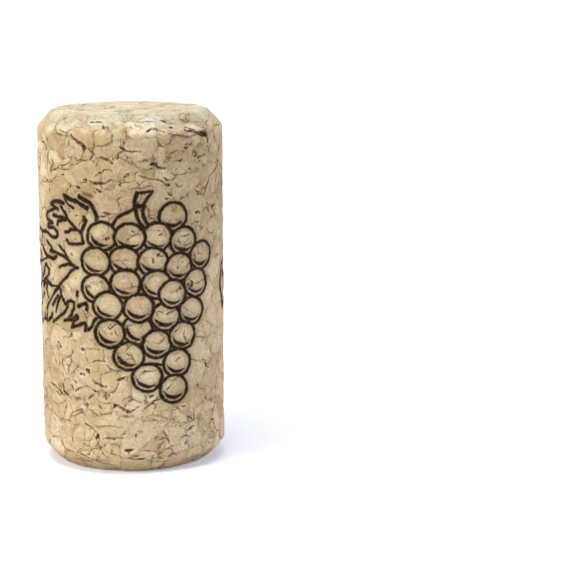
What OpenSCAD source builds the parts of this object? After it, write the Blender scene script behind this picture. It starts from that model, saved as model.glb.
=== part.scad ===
// Agglomerated wine cork: cork granules bound and moulded into one cylinder,
// ground to size, with chamfered ends that let it enter a bottle neck.
// It stands on one end face, with the origin at the middle of that face.

/* [Body] */
// Length of the cork from end face to end face, mm
cork_length = 44; // [30:1:54]
// Diameter of the ground side, mm
cork_d = 23; // [18:0.5:30]

/* [Chamfers] */
// How far each chamfer runs along the cork, mm
chamfer_length = 2.1; // [1:0.1:4]
// How far each chamfer reaches in from the side, mm
chamfer_depth = 1.9; // [1:0.1:4]
// Radius that tumbling wears on the edge between side and chamfer, mm
side_edge_r = 1.2; // [0.4:0.1:1.6]
// Radius that tumbling wears on the edge between chamfer and end face, mm
face_edge_r = 1.2; // [0.4:0.1:1.6]

/* [Pores] */
// Size of the open pores, against those listed below
pore_scale = 1; // [0.5:0.1:1.5]
// Depth of a pore, as a share of its half width
pore_sink = 0.8; // [0.5:0.1:1]

/* [Hidden] */

CORK_COLOUR = [0.86, 0.76, 0.61];
// Facets of the preview, and straight steps in each rounded edge
TURN_FACETS = 128;
EDGE_STEPS = 6;
PORE_FACETS = 24;
BOW_FACETS = 90;

side_r = cork_d / 2;
face_r = side_r - chamfer_depth;

// The chamfer turns by this much from the side, and by the rest of a right angle to the face.
chamfer_angle = atan2(chamfer_depth, chamfer_length);
// What a rounded edge takes from the straight side at each end
side_edge_reach = side_edge_r * tan(chamfer_angle / 2);
wall_z = chamfer_length + side_edge_reach;
wall_length = cork_length - 2 * wall_z;
// Radius of the flat that is left on each end face
flat_r = face_r - face_edge_r * tan((90 - chamfer_angle) / 2);

// Open pores on the side. Each row is:
//   turn from the front (-Y) towards +X in degrees, height as a share of the straight wall,
//   length in mm, width in mm, lean from upright towards +X in degrees
SIDE_PORES = [
    [-27, 0.97, 2.2, 0.50, -50],
    [58, 0.98, 1.1, 0.80, 60],
    [19, 0.92, 1.2, 0.50, 20],
    [-52, 0.88, 1.0, 0.45, 40],
    [-66, 0.47, 1.1, 0.40, 10],
    [64, 0.62, 1.3, 0.40, -15],
    [40, 0.31, 0.9, 0.45, 70],
    [-38, 0.23, 1.2, 0.45, 80],
    [4, 0.13, 1.8, 0.40, 88],
    [43, 0.07, 0.9, 0.70, 35],
    [-18, 0.06, 0.7, 0.50, -20],
    [1, 0.02, 1.1, 0.60, 75],
    [84, 0.83, 1.4, 0.50, 25],
    [97, 0.20, 1.0, 0.60, -60],
    [112, 0.51, 1.7, 0.45, 15],
    [128, 0.93, 0.9, 0.60, 70],
    [141, 0.09, 1.5, 0.50, -75],
    [158, 0.70, 1.2, 0.40, 30],
    [173, 0.36, 0.8, 0.55, -40],
    [-171, 0.95, 1.6, 0.50, -65],
    [-160, 0.12, 1.1, 0.45, 50],
    [-143, 0.58, 1.4, 0.40, 5],
    [-129, 0.86, 0.8, 0.60, -30],
    [-114, 0.05, 1.7, 0.50, 82],
    [-101, 0.40, 1.2, 0.45, -10],
    [-86, 0.74, 0.9, 0.50, 45]
];

// Open pores on the two end faces. Each row is:
//   turn in degrees, distance from the axis as a share of the flat's radius,
//   length in mm, width in mm, lean from the radius in degrees
TOP_PORES = [
    [-35, 0.80, 1.2, 0.50, 70],
    [25, 0.45, 1.6, 0.60, 20],
    [80, 0.75, 1.0, 0.50, -40],
    [150, 0.30, 1.3, 0.45, 60],
    [205, 0.70, 1.8, 0.50, -75],
    [275, 0.55, 0.9, 0.60, 10]
];
BASE_PORES = [
    [10, 0.60, 1.5, 0.50, 65],
    [70, 0.35, 1.0, 0.60, -25],
    [135, 0.80, 1.4, 0.45, 80],
    [195, 0.50, 1.1, 0.55, 15],
    [250, 0.75, 1.7, 0.50, -60],
    [320, 0.30, 0.9, 0.50, 40]
];

function unit(v) = v / norm(v);

// Points of an arc of radius r that rounds the corner at b on the way from a to c
function rounded(a, b, c, r) =
    let (
        to_a = unit(a - b),
        to_c = unit(c - b),
        half = acos(to_a * to_c) / 2,
        centre = b + unit(to_a + to_c) * r / sin(half),
        first = b + to_a * r / tan(half) - centre,
        last = b + to_c * r / tan(half) - centre,
        sweep = 180 - 2 * half,
        side = sign(first[0] * last[1] - first[1] * last[0])
    )
    [
        for (i = [0 : EDGE_STEPS])
            let (t = side * sweep * i / EDGE_STEPS)
                centre + [
                    first[0] * cos(t) - first[1] * sin(t),
                    first[0] * sin(t) + first[1] * cos(t)
                ]
    ];

// Half of the cork's long section: its chamfers, with both edges of each one rounded
module section() {
    base_face = [face_r, 0];
    base_side = [side_r, chamfer_length];
    top_side = [side_r, cork_length - chamfer_length];
    top_face = [face_r, cork_length];
    polygon(concat(
        [[0, 0]],
        rounded([0, 0], base_face, base_side, face_edge_r),
        rounded(base_face, base_side, top_side, side_edge_r),
        rounded(base_side, top_side, top_face, side_edge_r),
        rounded(top_side, top_face, [0, cork_length], face_edge_r),
        [[0, cork_length]]
    ));
}

module moulded_body() {
    rotate_extrude($fn = TURN_FACETS) section();
}

// A pore's hollow: a slim round boat along Z with bowed sides, sunk into the surface at x = 0
module pore(length, width) {
    half_l = pore_scale * length / 2;
    half_w = pore_scale * width / 2;
    // Radius of the bow, an arc through both tips and the waist
    bow_r = (half_l * half_l + half_w * half_w) / (2 * half_w);
    translate([half_w * (1 - pore_sink), 0, 0])
        rotate_extrude($fn = PORE_FACETS)
            intersection() {
                translate([half_w - bow_r, 0])
                    circle(r = bow_r, $fn = BOW_FACETS);
                translate([0, -half_l])
                    square([half_w, 2 * half_l]);
            }
}

module side_pores() {
    for (p = SIDE_PORES)
        rotate([0, 0, p[0] - 90])
            translate([side_r, 0, wall_z + p[1] * wall_length])
                rotate([-p[4], 0, 0])
                    pore(p[2], p[3]);
}

// The pores of one end face, cut from above into a face that lies at z = 0
module face_pores(rows) {
    for (p = rows)
        rotate([0, 0, p[0]])
            translate([p[1] * flat_r, 0, 0])
                rotate([0, 0, p[4]])
                    rotate([0, -90, 0])
                        pore(p[2], p[3]);
}

module cork() {
    color(CORK_COLOUR)
        difference() {
            moulded_body();
            side_pores();
            translate([0, 0, cork_length])
                face_pores(TOP_PORES);
            mirror([0, 0, 1])
                face_pores(BASE_PORES);
        }
}

cork();
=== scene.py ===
"""The looks of an agglomerated wine cork: moulded granules, open pores and a one-colour print.

The cork stands on its base at the origin. Lengths on its surface are in millimetres, and the
print is drawn on the side as if it were unrolled: X to the right of the front (-Y), Z up.
"""
import math
import bmesh
import bpy
import numpy as np
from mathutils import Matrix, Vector, noise


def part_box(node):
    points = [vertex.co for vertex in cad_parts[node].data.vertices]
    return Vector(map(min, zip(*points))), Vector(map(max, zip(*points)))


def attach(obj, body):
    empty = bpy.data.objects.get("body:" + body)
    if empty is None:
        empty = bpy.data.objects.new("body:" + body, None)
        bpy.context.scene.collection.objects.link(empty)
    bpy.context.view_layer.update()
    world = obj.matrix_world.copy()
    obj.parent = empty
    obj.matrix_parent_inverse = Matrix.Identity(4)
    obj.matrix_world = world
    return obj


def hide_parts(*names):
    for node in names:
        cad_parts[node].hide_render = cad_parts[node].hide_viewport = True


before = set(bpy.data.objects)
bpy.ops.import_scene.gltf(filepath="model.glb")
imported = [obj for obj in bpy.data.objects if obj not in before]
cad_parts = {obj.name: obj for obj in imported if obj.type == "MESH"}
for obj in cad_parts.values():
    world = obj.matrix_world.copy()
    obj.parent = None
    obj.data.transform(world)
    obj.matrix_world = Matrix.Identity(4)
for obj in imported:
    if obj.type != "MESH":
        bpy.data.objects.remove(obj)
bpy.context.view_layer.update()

MM = 0.001
LOW, HIGH = (Vector(c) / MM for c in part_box("cork"))
LENGTH = HIGH.z - LOW.z
SIDE_R = (HIGH.x - LOW.x) / 2
# The chamfers and their worn corners, in mm, as in the CAD
CHAMFER_LENGTH = 2.1
CHAMFER_DEPTH = 1.9
EDGE_R = 1.2


# ---- camera and lights

# A long lens a little above the cork, which stands left of the picture's middle
CAMERA_PITCH = math.radians(10.88)
CAMERA_DISTANCE = 236 * MM
CAMERA_AIM = Vector((19.6, 0, 21.2)) * MM
LENS_MM = 117


def make_camera():
    data = bpy.data.cameras.new("camera")
    data.lens = LENS_MM
    data.clip_start = 0.01
    camera = bpy.data.objects.new("camera", data)
    back = Vector((0, -math.cos(CAMERA_PITCH), math.sin(CAMERA_PITCH)))
    camera.location = CAMERA_AIM + back * CAMERA_DISTANCE
    camera.rotation_euler = (math.pi / 2 - CAMERA_PITCH, 0, 0)
    bpy.context.scene.collection.objects.link(camera)
    bpy.context.scene.camera = camera


# Each lamp's name, its turn from the camera's side (towards +X) and lift in degrees, how wide
# it looks in degrees, its strength and its colour
LAMPS = [
    ("key", -52, 35, 20, 2.05, (1.04, 0.99, 0.91)),
    ("fill", 90, 30, 30, 0.92, (1.05, 1.07, 1.42)),
    ("back", 180, 35, 30, 0.8, (1.0, 0.97, 0.95)),
    ("top", -30, 80, 30, 1.8, (0.97, 1.0, 1.05)),
]


def make_light(name, turn, lift, width, strength, colour):
    """A broad, far lamp, so that the light is even over the cork and the floor."""
    data = bpy.data.lights.new(name, "SUN")
    data.angle = math.radians(width)
    data.energy = strength
    data.color = colour
    lamp = bpy.data.objects.new(name, data)
    turn, lift = math.radians(turn), math.radians(lift)
    away = Vector((math.sin(turn) * math.cos(lift), -math.cos(turn) * math.cos(lift), math.sin(lift)))
    lamp.location = away
    lamp.rotation_euler = (-away).to_track_quat("-Z", "Y").to_euler()
    bpy.context.scene.collection.objects.link(lamp)


# ---- node building


class Value:
    """A socket that can stand in sums."""

    def __init__(self, nodes, socket):
        self.nodes = nodes
        self.socket = socket

    def __add__(self, other):
        return self.nodes.math("ADD", self, other)

    def __sub__(self, other):
        return self.nodes.math("SUBTRACT", self, other)

    def __rsub__(self, other):
        return self.nodes.math("SUBTRACT", other, self)

    def __mul__(self, other):
        return self.nodes.math("MULTIPLY", self, other)


class Nodes:
    """Adds nodes to one tree, a material's or a modifier's, so that both use the same pattern."""

    def __init__(self, tree):
        self.tree = tree

    def add(self, kind, inputs=None, **settings):
        node = self.tree.nodes.new(kind)
        for name, value in settings.items():
            setattr(node, name, value)
        for key, value in (inputs or {}).items():
            self.put(node.inputs[key], value)
        return node

    def put(self, socket, value):
        if isinstance(value, Value):
            self.tree.links.new(value.socket, socket)
        elif value is not None:
            socket.default_value = value

    def out(self, node, key=0):
        return Value(self, node.outputs[key])

    def math(self, operation, a, b=None, c=None):
        return self.out(self.add("ShaderNodeMath", {0: a, 1: b, 2: c}, operation=operation))

    def vector(self, operation, a, b=None, c=None, key=0):
        node = self.add("ShaderNodeVectorMath", {0: a, 1: b, 2: c}, operation=operation)
        return self.out(node, key)

    def length(self, a):
        return self.vector("LENGTH", a, key="Value")

    def distance(self, a, b):
        return self.vector("DISTANCE", a, b, key="Value")

    def scaled(self, a, by):
        """A vector with its three parts scaled by a number or by three."""
        by = (by, by, by) if isinstance(by, (int, float)) else by
        return self.vector("MULTIPLY", a, by)

    def parts(self, a):
        node = self.add("ShaderNodeSeparateXYZ", {0: a})
        return [self.out(node, k) for k in range(3)]

    def joined(self, x, y, z):
        return self.out(self.add("ShaderNodeCombineXYZ", {0: x, 1: y, 2: z}))

    def smooth(self, value, low, high, to_low=0.0, to_high=1.0):
        """A smooth step from to_low at low to to_high at high."""
        inputs = {"Value": value, "From Min": low, "From Max": high}
        inputs.update({"To Min": to_low, "To Max": to_high})
        node = self.add("ShaderNodeMapRange", inputs, interpolation_type="SMOOTHSTEP", clamp=False)
        return self.out(node)

    def noise(self, place, per_mm, detail=0.0, roughness=0.5, key=0):
        inputs = {"Vector": place, "Scale": per_mm, "Detail": detail, "Roughness": roughness}
        return self.out(self.add("ShaderNodeTexNoise", inputs), key)

    def voronoi(self, place, per_mm, feature="F1"):
        return self.add("ShaderNodeTexVoronoi", {"Vector": place, "Scale": per_mm}, feature=feature)

    def field(self, name):
        """A number that the mesh holds at each point."""
        return self.out(self.add("ShaderNodeAttribute", attribute_name=name), "Fac")

    def choose(self, factor, a, b):
        """a where factor is 0, b where it is 1, for numbers."""
        node = self.add("ShaderNodeMix", {0: factor, 2: a, 3: b}, data_type="FLOAT")
        return self.out(node, 0)

    def tint(self, factor, a, b, blend="MIX"):
        """Colour a, with colour b laid over it by factor."""
        node = self.add("ShaderNodeMix", {0: factor, 6: a, 7: b}, data_type="RGBA", blend_type=blend)
        return self.out(node, 2)


def srgb(r, g, b):
    """A colour as it looks on screen, 0 to 255, in the linear form that shaders take."""
    def linear(c):
        c /= 255
        return c / 12.92 if c <= 0.04045 else ((c + 0.055) / 1.055) ** 2.4
    return (linear(r), linear(g), linear(b), 1.0)


def empty_material(name):
    """A new material with no nodes in it, and what adds them."""
    material = bpy.data.materials.new(name)
    material.use_nodes = True
    material.node_tree.nodes.clear()
    return material, Nodes(material.node_tree)


def show(n, shader, kind="ShaderNodeOutputMaterial"):
    """Makes this shader what the material or the world shows."""
    n.tree.links.new(shader.outputs[0], n.add(kind).inputs["Surface"])


# ---- the granules

GRANULE = 3.3  # mm, the usual size of a granule
CRUMB = 1.9  # mm, the size of the pieces that some granules broke into


def granules(n, place):
    """What the surface knows about its granules: how far the nearest seam is, in mm,
    three random numbers that a whole granule shares, and where in the granule it is."""
    bend = n.vector("SUBTRACT", n.noise(place, 0.3, 1.0, key="Color"), (0.5, 0.5, 0.5))
    wobble = n.vector("SUBTRACT", n.noise(place, 1.4, 1.0, key="Color"), (0.5, 0.5, 0.5))
    bent = n.vector("MULTIPLY_ADD", bend, (2.6, 2.6, 2.6), place)
    bent = n.vector("MULTIPLY_ADD", wobble, (0.5, 0.5, 0.5), bent)
    bent = n.scaled(bent, (1.0, 1.0, 1.15))
    big = n.voronoi(bent, 1 / GRANULE)
    big_seam = n.out(n.voronoi(bent, 1 / GRANULE, "DISTANCE_TO_EDGE")) * GRANULE
    small = n.voronoi(bent, 1 / CRUMB)
    small_seam = n.out(n.voronoi(bent, 1 / CRUMB, "DISTANCE_TO_EDGE")) * CRUMB
    seed = n.out(big, "Color")
    broken = n.math("LESS_THAN", n.parts(seed)[0], 0.2)
    seam = n.choose(broken, big_seam, n.math("MINIMUM", big_seam, small_seam))
    crumb_seed = n.out(small, "Color")
    mixed = n.vector("FRACTION", n.vector("ADD", seed, crumb_seed))
    gap = n.vector("SUBTRACT", mixed, seed)
    seed = n.vector("MULTIPLY_ADD", gap, n.joined(broken, broken, broken), seed)
    inside = n.vector("SUBTRACT", bent, n.out(big, "Position"))
    return {"seam": seam, "seed": n.parts(seed), "seeds": seed, "inside": inside}


def openness(n, place):
    """0 where a seam is shut tight, 1 where it stands open as a crack."""
    return n.smooth(n.noise(place, 0.55, 1.0), 0.5, 0.62)


# ---- cracks, pores and stains

# Places on the side are (arc, z) in mm: arc runs round from the front (-Y) towards +X, at the
# side's radius, and z is the height. A third number is half the width there.

# Cracks and pits that show dark
CRACKS = [
    # Under the top edge
    [(-6.6, 41.6, .05), (-6.1, 41.2, .12), (-5.6, 40.7, .12), (-5.2, 40.5, .2), (-4.8, 40.1, .2)],
    [(-8.9, 42.1, .05), (-8.2, 41.9, .09), (-7.2, 41.7, .05)],
    [(-3.8, 39.7, .06), (-3.4, 39.4, .08), (-3.9, 38.8, .06), (-3.5, 38.6, .08)],
    [(-2.6, 39.1, .04), (-2.1, 38.7, .06), (-1.7, 38.8, .07), (-1.3, 38.5, .12)],
    [(-1.2, 39, .12), (-0.7, 39.1, .12), (-0.3, 39.6, .07), (0.1, 39.8, .07)],
    [(-0.2, 40.4, .13), (0.3, 40, .08), (1.2, 39.8, .07), (2.1, 39.8, .05)],
    [(-4.8, 36.3, .14), (-4.3, 36.2, .06), (-3.6, 36, .18), (-2.9, 35.9, .12)],
    [(-2.9, 35.9, .12), (-2.1, 35.9, .08), (-1.4, 36.3, .07), (-0.6, 36.2, .06), (0, 36.1, .03)],
    [(-3.4, 36.8, .05), (-2.9, 37.1, .07), (-2.5, 37.2, .06), (-2.1, 37.6, .03)],
    [(-6, 35.4, .12), (-5.7, 35.2, .16)], [(-9.8, 37.1, .15), (-9.5, 37.1, .08)],
    [(0.3, 36.8, .08), (0.7, 37.1, .1)], [(-12.7, 40.3, .06), (-11.8, 39.9, .1), (-11.6, 39.5, .05)],
    [(3.2, 42.1, .13), (3.6, 42.3, .1), (4.3, 42.3, .08), (5.2, 42, .04)],
    [(6.1, 42.5, .14), (6.4, 42.5, .14)], [(8.3, 42.5, .08), (9, 42.2, .1), (9.9, 41.7, .1)],
    [(8.1, 42.1, .1), (8.8, 41.9, .14), (9.9, 41.6, .1)],
    [(10.2, 41.6, .2), (10.9, 41.5, .34), (11.8, 41.2, .3), (12, 41, .12)],
    [(12, 41.2, .1), (12.1, 40.4, .08), (12.1, 39.8, .05)],
    [(3.4, 38.2, .12), (4, 38.3, .22), (4.3, 37.8, .1), (5.1, 37.7, .08)],
    [(6.5, 38.4, .04), (7.1, 38.3, .08), (7.5, 38.6, .05)],
    [(10.1, 38.6, .12), (10.5, 38.7, .06), (11.4, 38.9, .06)], [(9.5, 38.9, .1), (9.7, 39, .08)],
    [(15.2, 37.6, .06), (14.4, 37, .06), (13.2, 36.4, .1), (12.5, 36.2, .06)],
    [(12.5, 36.2, .06), (11.9, 35.5, .06), (11.3, 34.8, .09)],
    [(2, 37, .04), (2.6, 36.7, .06), (3.6, 36.4, .08), (4.5, 36.3, .05), (5.3, 35.7, .06)],
    [(5.1, 36.7, .05), (5.5, 36.2, .08)], [(5.4, 35.7, .1), (5.6, 35.6, .14)],
    [(6.5, 35.9, .04), (6.8, 35.5, .05), (7.2, 35.4, .08), (7.5, 35.5, .05)],
    [(8, 40, .1), (8.2, 40, .12)], [(-4.2, 43.1, .05), (-3.6, 43.2, .1), (-3, 43.2, .1)],
    [(-2.6, 42.9, .06), (-2.4, 42.6, .12), (-2.2, 42.5, .1)],
    [(5.4, 43.1, .06), (5.8, 43.1, .14), (6.2, 42.9, .08)],
    # Round the print
    [(-3.1, 35.3, .05), (-2.8, 35, .1)], [(5.7, 34.7, .14), (6, 34.4, .1)],
    [(5.2, 34, .1), (5.5, 34, .06)], [(9.5, 32, .06), (9.9, 32, .12), (10.3, 31.8, .05)],
    [(9.4, 30.8, .05), (9.8, 30.8, .1), (10.1, 30.9, .06)],
    [(11.5, 33, .04), (12.9, 32.3, .06), (13, 32.2, .12), (14.2, 32.8, .04)],
    [(9.1, 35.2, .03), (10.2, 34.2, .07), (10.5, 34.1, .04)],
    [(-2.6, 32.6, .05), (-1.7, 32.3, .09), (-0.9, 32.5, .03)], [(-6.9, 27.2, .12), (-6.8, 27.1, .1)],
    [(-6.3, 32, .08), (-6.1, 32, .08)], [(-7.4, 17.2, .09), (-7.3, 17.2, .09)],
    [(-9.7, 15.9, .1), (-9.2, 15.5, .15)], [(-5.5, 15.7, .1), (-5.4, 15.7, .08)],
    [(-4.3, 14.1, .05), (-3.7, 14.3, .06), (-2.9, 14.3, .05), (-2.7, 14.2, .12)],
    [(-2.3, 13.7, .06), (-1.9, 13.3, .05)], [(-4.9, 13, .15), (-4.7, 12.7, .1)],
    [(-5.9, 12.4, .12), (-5.3, 12.4, .06)],
    [(-4.6, 11.8, .04), (-3.4, 11.4, .11), (-3, 11.2, .11), (-2.3, 11.1, .07)],
    [(-0.9, 12, .12), (-0.3, 12.4, .05), (0.5, 12.6, .04)],
    [(10.6, 13.6, .06), (11, 13.4, .05), (11.3, 12.8, .12), (11.8, 12.3, .05)],
    # Inside the berries
    [(-2, 29.3, .14), (-1.8, 29.4, .12)], [(1, 30.3, .07), (1.3, 30.2, .1)],
    [(0.6, 29.3, .1), (0.6, 29.4, .08)], [(4.2, 29.7, .08), (4.6, 29.8, .04)],
    [(7, 29.3, .05), (7.6, 29.3, .07), (8.2, 29.6, .04)], [(6.8, 28.7, .09), (7.1, 28.5, .06)],
    [(3.5, 26.9, .06), (3.4, 26.4, .1)], [(4.1, 27.2, .1), (4.2, 27, .07), (4.8, 27, .03)],
    [(7.4, 26.2, .09), (7.5, 26.2, .05)], [(6.7, 25.7, .1), (6.7, 25.5, .05)],
    [(-4.2, 23.9, .04), (-3.7, 24.1, .06), (-2.5, 24, .03)], [(-4.7, 23.4, .09), (-4.3, 23.2, .09)],
    [(8.3, 23.2, .15), (8.4, 22.8, .12), (8.8, 22.8, .12), (9, 23.3, .1), (8.7, 23.6, .07)],
    [(-3.2, 21, .09), (-3.1, 20.9, .06)], [(-1.1, 19, .05), (-1.7, 18.3, .08), (-1.6, 18.1, .05)],
    [(5.1, 19.9, .04), (6, 20.2, .08)], [(7.6, 17.6, .05), (7.4, 17, .08), (7.9, 16.4, .06)],
    [(6.3, 14, .04), (6.8, 14.5, .06)],
    [(1.3, 12.6, .03), (1.9, 12.9, .06), (3.2, 13.1, .05), (4.1, 13.2, .03)],
    [(5.1, 10.6, .08), (5.9, 11.2, .04)],
    # Towards the base
    [(-12, 10.4, .05), (-11.2, 10.2, .07), (-10.3, 10.1, .04)], [(-9.6, 9.8, .06), (-9.3, 9.6, .12)],
    [(-8.8, 9.9, .1), (-8.4, 9.5, .14)], [(-8.9, 10.6, .08), (-8.7, 10.2, .1)],
    [(-7.1, 11.6, .05), (-6.6, 11.2, .09)], [(-7.4, 10.8, .08), (-7.2, 10.4, .1)],
    [(-6.9, 10.2, .04), (-6.4, 10.5, .08), (-6.1, 10.8, .04)],
    [(-4.9, 9.4, .04), (-4.6, 9.7, .09), (-4.2, 9.9, .09)],
    [(-5.5, 8.8, .12), (-5.4, 8.7, .05), (-5, 8.7, .15)], [(-6.4, 7.8, .06), (-5.9, 8.1, .12)],
    [(-4.2, 10.7, .06), (-3.9, 10.5, .1)], [(-2.5, 9.6, .13), (-2.2, 9.8, .08), (-2, 10, .08)],
    [(-1.5, 8.6, .1), (-1.3, 8.9, .15), (-0.9, 8.8, .07), (-0.4, 8.4, .07), (0.1, 8.2, .07)],
    [(0.1, 8.2, .07), (0.4, 8, .14), (0.8, 8.2, .06), (1.6, 8.6, .03)],
    [(2.2, 10.2, .05), (2.4, 9.8, .08)], [(3, 9.9, .09), (3.4, 10, .06)],
    [(3.2, 9.3, .07), (4.2, 9.4, .04)],
    [(-5.3, 6.3, .11), (-4.9, 6.1, .06), (-4.3, 5.8, .06), (-3.4, 5.1, .03)],
    [(-3.9, 4.5, .14), (-3.6, 5, .14)],
    [(-3.6, 4.7, .08), (-3.2, 4.6, .05), (-2.2, 4.7, .1), (-1.6, 4.6, .1)],
    [(-1.2, 4.9, .09), (-0.4, 4.8, .05)],
    [(-0.4, 3.2, .05), (0.1, 3.2, .16), (0.5, 3.3, .16), (0.8, 3.3, .06)],
    [(0.2, 3.1, .1), (0.2, 2.8, .06)], [(0.1, 2.2, .07), (1, 2.1, .11), (2.2, 2.1, .08)],
    [(-6.6, 2.4, .08), (-6, 2.3, .12), (-5.5, 2.2, .08)], [(-5.2, 2.5, .06), (-4.9, 2.6, .08)],
    [(-5.4, 2, .08), (-4.6, 1.8, .06)],
    [(7.8, 5.1, .05), (8.2, 5.3, .16), (8.5, 5.4, .14), (8.9, 5.5, .08)], [(8.2, 6.8, .08), (8.4, 6.6, .1)],
    [(7.5, 3.5, .12), (7.6, 3.5, .1)], [(8, 3.2, .06), (8.1, 2.9, .09)],
    [(7, 8.2, .04), (7.5, 8.2, .07)], [(12.2, 8.2, .1), (12.2, 7.9, .13)],
    [(12.6, 5.5, .1), (12.7, 5.4, .06)], [(12.4, 3.9, .05), (12.1, 3.2, .05)],
    [(3.2, 2.2, .07), (3.3, 2.5, .05), (3.8, 2.6, .08)],
    [(5, 2.1, .05), (5.6, 2.4, .09), (6.2, 2.2, .03)], [(1.1, 5.3, .06), (1.1, 5, .1)],
    [(-5.6, 15.6, .13), (-5.4, 15.6, .12)],
]

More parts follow.
